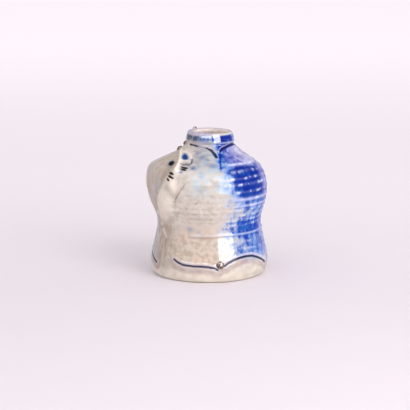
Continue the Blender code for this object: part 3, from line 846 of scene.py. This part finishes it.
def glaze_material(colours, sizes, peel, mottle):
    """Salt glaze: cream that turns grey-blue, then cobalt where it pools, and pale where it runs thin, with
    painted shade, sheen and highlights laid into the colour.
    """
    material, g, shader = new_material("salt_glaze")
    place = g.place()
    noise = g.group(mottle, Place=place, Blotches=1 / (BLOTCH_SIZE * MM))
    skin = g.group(peel, Place=place, Dimples=1 / sizes.peel_size, Depth=1)

    def speckle(grain, low, high):
        """A grain of the mottle as a number that runs from low to high."""
        return g.step(noise[grain], 0, 1, low, high)

    def paint(under, key, share, colour, grain=None, low=0, high=1):
        """Lays a colour over another where a field is, broken up by a grain that runs from low to high."""
        amount = g.times(g.field(key), share, clamp=True)
        if grain:
            amount = g.times(amount, speckle(grain, low, high), clamp=True)
        return g.mix(amount, under, colour)

    # Cream ground with pinker drifts, and olive and brown mottle.
    ground = g.mix(noise["Drift"], colours.cream, colours.beige)
    ground = g.mix(speckle("Blotch", 0.6, 0), ground, colours.olive)
    ground = g.mix(g.step(noise["Dot"], 0, 0.9, 0.26, 0), ground, colours.brown)
    for key, share, colour, *grain in GROUND_LAYERS:
        ground = paint(ground, key, share, getattr(colours, colour), *grain)

    # Blue: strong in the troughs, broken to white dashes along the ridges.
    blue = g.field("blue")
    ragged = g.math("ADD", speckle("Streak", -0.12, 0.12), speckle("Dot", -0.13, 0.13))
    pooled = g.math("ADD", blue, g.times(g.field("blue_edge"), ragged))
    pooled = g.times(pooled, speckle("Blotch", 0.78, 1.2))
    pooled = g.times(pooled, speckle("Run", 0.78, 1.15))
    thin = g.times(g.field("line_white"), speckle("Dash", 0.12, 1.15), clamp=True)
    amount = g.math("SUBTRACT", pooled, g.times(thin, 0.45), clamp=True)
    pale = paint(colours.pale_blue, "violet", 1, colours.violet)
    pale = paint(pale, "greyer", 0.8, colours.grey_pale)
    strong = g.mix(speckle("Streak", 0, 0.6), colours.blue, colours.mid_blue)
    strong = paint(strong, "deep", 0.9, colours.deep_blue, "Blotch", 0.55, 1)
    strong = paint(strong, "violet", 0.95, colours.deep_violet, "Streak", 0.35, 1)
    colour = g.mix(g.step(amount, 0, 0.75), ground, pale)
    colour = g.mix(g.step(amount, 0.35, 1), colour, strong)
    white = g.times(thin, g.step(blue, 0.1, 0.7, 0.1, 0.95), clamp=True)
    colour = g.mix(white, colour, colours.thin_white)
    long_pale = g.times(g.field("line_pale"), g.step(blue, 0.1, 0.7, 0, 0.9), clamp=True)
    long_pale = g.times(long_pale, speckle("Dash", 0.7, 1.2), clamp=True)
    colour = g.mix(long_pale, colour, colours.lilac)
    colour = paint(colour, "cord", 0.65, colours.thin_white)
    # Painted sheen of the room along the far right side.
    colour = paint(colour, "far_edge_sheen", 0.85, colours.sheen_lilac, "Streak", 0.45, 1)
    # Painted sheen on the shoulder, in the pale lip colour.
    colour = paint(colour, "shoulder_sheen", 0.85, colours.lip, "Streak", 0.5, 1)
    streak = paint(colours.slate, "collar_blue", 0.8, colours.collar_blue)
    amount = g.times(g.field("collar_streak"), speckle("Run", 0.68, 1.25), clamp=True)
    colour = g.mix(amount, colour, streak)

    # Ear hollow, foot, rim and inside.
    ear = g.field("ear")
    colour = g.mix(g.step(ear, 0.05, 0.6), colour, colours.ear_blue)
    colour = g.mix(g.step(ear, 0.55, 1, 0, 0.9), colour, colours.ear_deep)
    foot = g.mix(g.step(noise["Blotch"], 0.1, 0.9, 0.22, 0), colours.foot, colours.brown)
    colour = g.mix(g.field("foot"), colour, foot)
    # Painted contact shade at the very foot.
    colour = paint(colour, "contact_shade", 0.7, colours.contact_shade)
    colour = paint(colour, "stain", 0.8, colours.stain, "Blotch", 0.4, 1)
    rim = g.mix(g.step(noise["Blotch"], 0.2, 0.9), colours.rim, colours.rim_spot)
    colour = g.mix(g.times(g.field("rim"), 0.9), colour, rim)
    colour = paint(colour, "inside", 1, colours.inside)
    colour = paint(colour, "inside", 0.4, colours.brown, "Blotch", -0.6, 1)

    # Lines and marks, dark where the glaze pools in them, with a pale lip above each line.
    line = g.field("line")
    colour = paint(colour, "lip", 0.7, colours.lip)
    colour = g.mix(g.step(line, 0.5, 1.1, 0.35, 0), colour, colours.line_edge)
    dark = paint(colours.line, "navy", 1, colours.navy)
    colour = g.mix(g.step(line, 0.3, 0.75, 0.95, 0), colour, dark)
    colour = paint(colour, "edge_streak", 0.75, colours.line_edge)
    colour = paint(colour, "ear_shade", 0.85, colours.line)
    colour = paint(colour, "mouth", 0.55, colours.brown)
    colour = paint(colour, "eye_shade", 0.65, colours.eye_ring)
    mark = g.field("mark")
    colour = g.mix(g.step(mark, 0, 0.5, 0.35, 0), colour, colours.line)
    colour = g.mix(g.step(mark, -0.2, 0.2, 0.97, 0), colour, colours.mark)
    colour = paint(colour, "crack", 0.8, colours.crack)

    g.put(shader.inputs["Base Color"], colour)
    dull = g.step(mark, -0.1, 0.4, 1, 0)
    rough = g.math("ADD", g.step(skin["Mask"], 0, 1, 0.16, 0.24), g.times(dull, 0.4))
    g.put(shader.inputs["Roughness"], rough)
    shine = g.step(g.math("ADD", g.field("glossy"), g.times(blue, 0.2)), 0, 1, 0.18, 1)
    shine = g.times(shine, g.step(g.field("cheek"), 0, 1, 1, 0.35))
    shine = g.times(shine, g.step(dull, 0, 1, 1, 0.2))
    g.put(shader.inputs["Coat Weight"], shine)
    shader.inputs["IOR"].default_value = 1.5
    shader.inputs["Specular IOR Level"].default_value = 0.02
    shader.inputs["Coat Roughness"].default_value = 0.03
    shader.inputs["Coat IOR"].default_value = 1.4
    add_bump(g, shader, skin["Height"], 0.35, sizes.peel_depth)
    return material


def clay_material(colours, peel):
    """Dark clay under clear glaze: brown, nearly black in the spiral, with lighter spots in the orange peel's
    dimples.
    """
    material, g, shader = new_material("dark_clay")
    place = g.place()
    skin = g.group(peel, Place=place, Dimples=1500, Depth=1)
    tone = g.mix(skin["Mask"], colours.clay, colours.clay_light)
    tone = g.mix(g.step(g.field("coil"), 0.2, 0.8, 0, 0.85), tone, colours.mark)
    g.put(shader.inputs["Base Color"], tone)
    g.put(shader.inputs["Roughness"], g.step(skin["Mask"], 0, 1, 0.22, 0.4))
    shader.inputs["Coat Weight"].default_value = 0.5
    shader.inputs["Coat Roughness"].default_value = 0.08
    add_bump(g, shader, skin["Height"], 0.4, 0.0001)
    return material


def colour_property(name, description, *screen):
    """A colour whose default is given as the screen shows it."""
    return FloatVectorProperty(
        name=name, description=description, default=srgb(*screen), subtype="COLOR", size=3, min=0, max=1
    )


def number_property(name, description, default, high, low=0, **more):
    return FloatProperty(name=name, description=description, default=default, max=high, min=low, **more)


def length_property(name, description, default, high=0.002, low=0):
    return number_property(name, description, default, high, low, unit="LENGTH", precision=5)


class VaseSizes(bpy.types.PropertyGroup):
    """Sizes of the fine detail of the wall and of the beads."""

    ridge_height: length_property("Ridge height", "How far a usual throwing ridge stands out", 0.00026)
    line_depth: length_property("Line depth", "Depth of the lines round the foot and collar", 0.00075)
    line_width: length_property("Line half width", "Half width of those lines", 0.00065, low=0.0001)
    nick_depth: length_property("Nick depth", "Depth of the strokes beside the cheek and ear", 0.0009)
    peel_size: length_property("Peel size", "Size of one dimple of the orange peel", 0.0014, 0.005, 0.0003)
    peel_depth: length_property("Peel depth", "Depth of the orange peel", 0.00012, 0.001)
    coils: number_property("Coil turns", "Turns of the spiral on each bead", 2, 5)
    coil_depth: number_property("Coil depth", "Depth of the spiral as a share of the radius", 0.14, 0.4)


class GlazeColours(bpy.types.PropertyGroup):
    """Colours of the glaze and of the dark clay."""

    cream: colour_property("Cream", "Ground of the glaze", 213, 207, 197)
    beige: colour_property("Beige", "Pinker drifts in the ground", 206, 194, 185)
    olive: colour_property("Olive", "Grey olive blotches", 184, 179, 169)
    grey_blue: colour_property("Grey blue", "Cool blotches in the middle", 176, 187, 194)
    pink: colour_property("Pink", "Flush near the foot", 216, 190, 176)
    low_brown: colour_property("Low brown", "Olive-brown blotches below the cord", 164, 147, 128)
    brown: colour_property("Brown", "Small brown dots and shade", 150, 130, 117)
    # Painted shade and sheen of the low front edge.
    shade_sheen_grey: colour_property("Edge grey", "Lilac-grey below the muzzle", 168, 168, 186)
    slate_grey: colour_property("Slate grey", "Grey streaks on the shoulder", 146, 146, 156)
    smudge: colour_property("Smudge", "Soft blue smudges left of the blue side", 84, 114, 160)
    # Partly the cheek's own cream, partly painted light on its raised form.
    cheek: colour_property("Cheek", "Pale cream of the cheek", 230, 219, 206)
    tan: colour_property("Tan", "Tan edge of the crest", 182, 154, 120)
    face: colour_property("Face", "Olive beige of the head", 190, 180, 168)
    face_streak: colour_property("Face streaks", "Pinkish streaks down the muzzle", 176, 154, 146)
    fold: colour_property("Fold", "Shade in the fold beside the muzzle", 150, 138, 124)
    # Partly glaze running thin, partly painted highlight on raised edges.
    crest: colour_property("Crest", "Pale edges where the glaze runs thin", 224, 213, 205)
    pale_blue: colour_property("Pale blue", "Thin blue", 112, 150, 206)
    grey_pale: colour_property("Grey pale", "Thin blue low on the wall", 150, 164, 194)
    lilac: colour_property("Lilac", "Pale lines that run on round the blue side", 198, 202, 232)
    violet: colour_property("Violet", "Violet bloom on the shoulder", 166, 168, 214)
    # Painted sheen colour for the far right side.
    sheen_lilac: colour_property("Haze", "Lilac bloom on the far side", 158, 154, 212)
    deep_violet: colour_property("Deep violet", "Violet where the glaze is thicker", 110, 116, 184)
    mid_blue: colour_property("Mid blue", "Blue between thick and thin", 36, 98, 170)
    blue: colour_property("Blue", "Blue where the glaze is thicker", 8, 52, 156)
    deep_blue: colour_property("Deep blue", "Cobalt in the troughs", 2, 24, 124)
    slate: colour_property("Slate", "Blue-grey streaks round the collar", 64, 78, 108)
    collar_blue: colour_property("Collar blue", "Blue streaks in the middle of the collar", 76, 108, 166)
    navy: colour_property("Navy", "The line under the collar on the blue side", 12, 26, 96)
    thin_white: colour_property("Thin white", "White dashes along the ridges", 196, 204, 228)
    ear_blue: colour_property("Ear blue", "Blue pooled in the ear", 84, 122, 178)
    ear_deep: colour_property("Ear deep", "Middle of the pool in the ear", 22, 44, 110)
    foot: colour_property("Foot", "Creamy foot", 214, 205, 191)
    # Painted contact shade, dark brown, along the very foot.
    contact_shade: colour_property("Sole", "Bare clay at the very foot", 140, 118, 96)
    stain: colour_property("Stain", "Mauve-brown below the drawn lines", 160, 138, 140)
    rim: colour_property("Rim", "Lilac-grey rim", 188, 176, 178)
    rim_spot: colour_property("Rim spots", "Bluish spots on the rim", 168, 166, 190)
    inside: colour_property("Inside", "Inside of the vase", 222, 207, 203)
    lip: colour_property("Lip", "Pale lip above each line", 202, 198, 214)
    line: colour_property("Line", "Blue-black pooled in the lines", 34, 34, 64)
    line_edge: colour_property("Line edge", "Blue along the lines", 86, 96, 150)
    mark: colour_property("Mark", "Near black of eye and nicks", 22, 20, 24)
    eye_ring: colour_property("Eye ring", "Grey-blue round the eye", 104, 110, 122)
    crack: colour_property("Crack", "Hairline crack", 104, 88, 80)
    clay: colour_property("Clay", "Dark clay of the beads", 84, 62, 54)
    # The lighter tone lies in the orange peel's small dimples.
    clay_light: colour_property("Clay light", "Worn tops of the coils", 126, 104, 95)


class StageSettings(bpy.types.PropertyGroup):
    """The camera, the floor and the lights."""

    azimuth: number_property(
        "Camera azimuth", "Way round from the head's front towards its left",
        math.radians(109.4), math.tau, subtype="ANGLE",
    )
    elevation: number_property(
        "Camera elevation", "Angle above the table", math.radians(11), math.pi / 2, subtype="ANGLE"
    )
    distance: number_property("Camera distance", "From the aim point to the lens", 1.26, 10, unit="LENGTH")
    lens: number_property("Lens", "Focal length on a 36 mm sensor, in mm", 157.9, 400, 20)
    key_power: number_property("Key light", "Power of the softbox on the right", 8.6, 200)
    fill_power: number_property("Left light", "Power of the window on the left", 1.8, 200)
    world: number_property("Room light", "Strength of the even light all round", 0.94, 5)
    mirrored: number_property("Room in the glaze", "The room's brightness in reflections, as a share", 0.3, 1)
    sheen_power: number_property("Sheen light", "Power of the panels that only show in the glaze", 54, 200)
    far_glow: number_property("Far glow", "How much the far floor glows, beyond the lights", 0.48, 2)
    floor: colour_property("Floor", "Pale paper under the vase", 220, 212, 218)


def facing(azimuth, elevation):
    """The unit vector towards an azimuth and elevation, both in radians."""
    flat = math.cos(elevation)
    return Vector((math.sin(azimuth) * flat, -math.cos(azimuth) * flat, math.sin(elevation)))


class VASE_OT_glazed_wall(bpy.types.Operator):
    """Build the thrown and worked wall with its glaze"""

    bl_idname = "head_vase.glazed_wall"
    bl_label = "Glazed wall"

    def execute(self, context):
        scene = context.scene
        obj = vase_mesh(scene.head_vase_sizes)
        outward(obj)
        peel = bpy.data.node_groups.get("Orange peel") or peel_group()
        mottle = bpy.data.node_groups.get("Glaze mottle") or mottle_group()
        obj.data.materials.append(
            glaze_material(scene.head_vase_colours, scene.head_vase_sizes, peel, mottle)
        )
        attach(obj, "root")
        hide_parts("vase")
        return {"FINISHED"}


class VASE_OT_clay_beads(bpy.types.Operator):
    """Build the six coiled beads of dark clay"""

    bl_idname = "head_vase.clay_beads"
    bl_label = "Clay beads"

    def execute(self, context):
        scene = context.scene
        peel = bpy.data.node_groups.get("Orange peel") or peel_group()
        material = clay_material(scene.head_vase_colours, peel)
        for node, azimuth, height, radius in BEADS:
            obj = bead_mesh(node + "_coil", azimuth, height, radius, scene.head_vase_sizes)
            outward(obj)
            obj.data.materials.append(material)
            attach(obj, "root")
            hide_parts(node)
        return {"FINISHED"}


class VASE_OT_stage(bpy.types.Operator):
    """Set out the pale floor, the soft lights and the camera"""

    bl_idname = "head_vase.stage"
    bl_label = "Stage"

    def execute(self, context):
        scene = context.scene
        stage = scene.head_vase_stage

        mesh = bpy.data.meshes.new("floor")
        sides = ((-1, -1), (1, -1), (1, 1), (-1, 1))
        corners = [(x * FLOOR_REACH, y * FLOOR_REACH, -0.0001) for x, y in sides]
        mesh.from_pydata(corners, [], [(0, 1, 2, 3)])
        floor = bpy.data.objects.new("floor", mesh)
        scene.collection.objects.link(floor)
        material, g, shader = new_material("floor_paper")
        grain = g.noise(g.place(), 30, 3)
        tint = g.mix(g.step(grain, 0.2, 0.8, 0, 0.04), stage.floor, (0.6, 0.56, 0.6))
        g.put(shader.inputs["Base Color"], tint)
        shader.inputs["Emission Color"].default_value = (*stage.floor, 1)
        away = (-math.sin(stage.azimuth), math.cos(stage.azimuth), 0)
        distance = g.node("VectorMath", {0: g.place(), 1: away}, operation="DOT_PRODUCT")
        near = g.step(distance.outputs["Value"], -0.15, 0.4, 0, 0.4 * stage.far_glow)
        far = g.step(distance.outputs["Value"], 0.2, 1.6, 0, 0.6 * stage.far_glow)
        g.put(shader.inputs["Emission Strength"], g.math("ADD", near, far))
        shader.inputs["Roughness"].default_value = 0.7
        shader.inputs["Specular IOR Level"].default_value = 0.2
        mesh.materials.append(material)
        floor.visible_glossy = False

        world = bpy.data.worlds.new("room")
        scene.world = world
        world.use_nodes = True
        background = world.node_tree.nodes["Background"]
        background.inputs["Color"].default_value = (1, 0.985, 1, 1)
        g = Graph(world.node_tree)
        way = g.node("SeparateXYZ", {0: g.node("TexCoord").outputs["Generated"]})
        seen = g.step(way.outputs["Z"], -0.05, 0.35, 0.7 * stage.world, stage.mirrored * stage.world)
        kind = g.node("LightPath").outputs["Is Glossy Ray"]
        room = g.times(g.math("SUBTRACT", 1, kind), stage.world)
        g.put(background.inputs["Strength"], g.math("ADD", room, g.times(kind, seen)))

        for name, azimuth, elevation, distance, size, setting, share, colour in LIGHTS:
            light = bpy.data.lights.new(name, "AREA")
            light.shape = "RECTANGLE"
            light.size, light.size_y = size
            light.energy = share * getattr(stage, setting)
            light.color = colour
            obj = bpy.data.objects.new(name, light)
            scene.collection.objects.link(obj)
            way = facing(math.radians(azimuth), math.radians(elevation))
            obj.location = Vector((0, 0, LIGHTS_AIM)) + way * distance
            obj.rotation_euler = way.to_track_quat("Z", "Y").to_euler()
            obj.visible_diffuse = "sheen" not in name

        camera = bpy.data.cameras.new("camera")
        camera.sensor_width = 36.0
        camera.lens = stage.lens
        camera.clip_start = 0.05
        camera.clip_end = 60.0
        holder = bpy.data.objects.new("camera", camera)
        scene.collection.objects.link(holder)
        back = facing(stage.azimuth, stage.elevation)
        right = Vector((math.cos(stage.azimuth), math.sin(stage.azimuth), 0))
        aim = Vector((0, 0, CAMERA_AIM)) - right * CAMERA_SHIFT
        holder.location = aim + back * stage.distance
        holder.rotation_euler = back.to_track_quat("Z", "Y").to_euler()
        scene.camera = holder
        scene.view_settings.view_transform = "Standard"
        return {"FINISHED"}


class VASE_PT_panel(bpy.types.Panel):
    """Lists the steps that build the vase, and the values they use"""

    bl_idname = "VASE_PT_panel"
    bl_label = "Head vase"
    bl_space_type = "VIEW_3D"
    bl_region_type = "UI"
    bl_category = "Head vase"

    def draw(self, context):
        layout = self.layout
        for step in STEPS:
            layout.operator(step.bl_idname)
        for settings in SETTINGS:
            group = getattr(context.scene, settings)
            box = layout.box()
            for key in group.__annotations__:
                box.prop(group, key)


SETTINGS = {"head_vase_sizes": VaseSizes, "head_vase_colours": GlazeColours, "head_vase_stage": StageSettings}
STEPS = (VASE_OT_glazed_wall, VASE_OT_clay_beads, VASE_OT_stage)
CLASSES = (*SETTINGS.values(), *STEPS, VASE_PT_panel)


def register():
    for cls in CLASSES:
        bpy.utils.register_class(cls)
    for key, group in SETTINGS.items():
        setattr(bpy.types.Scene, key, PointerProperty(type=group))


def unregister():
    for key in SETTINGS:
        delattr(bpy.types.Scene, key)
    for cls in reversed(CLASSES):
        bpy.utils.unregister_class(cls)


def main():
    register()
    bpy.ops.head_vase.glazed_wall()
    bpy.ops.head_vase.clay_beads()
    bpy.ops.head_vase.stage()
    bpy.context.view_layer.update()


if __name__ == "__main__":
    main()
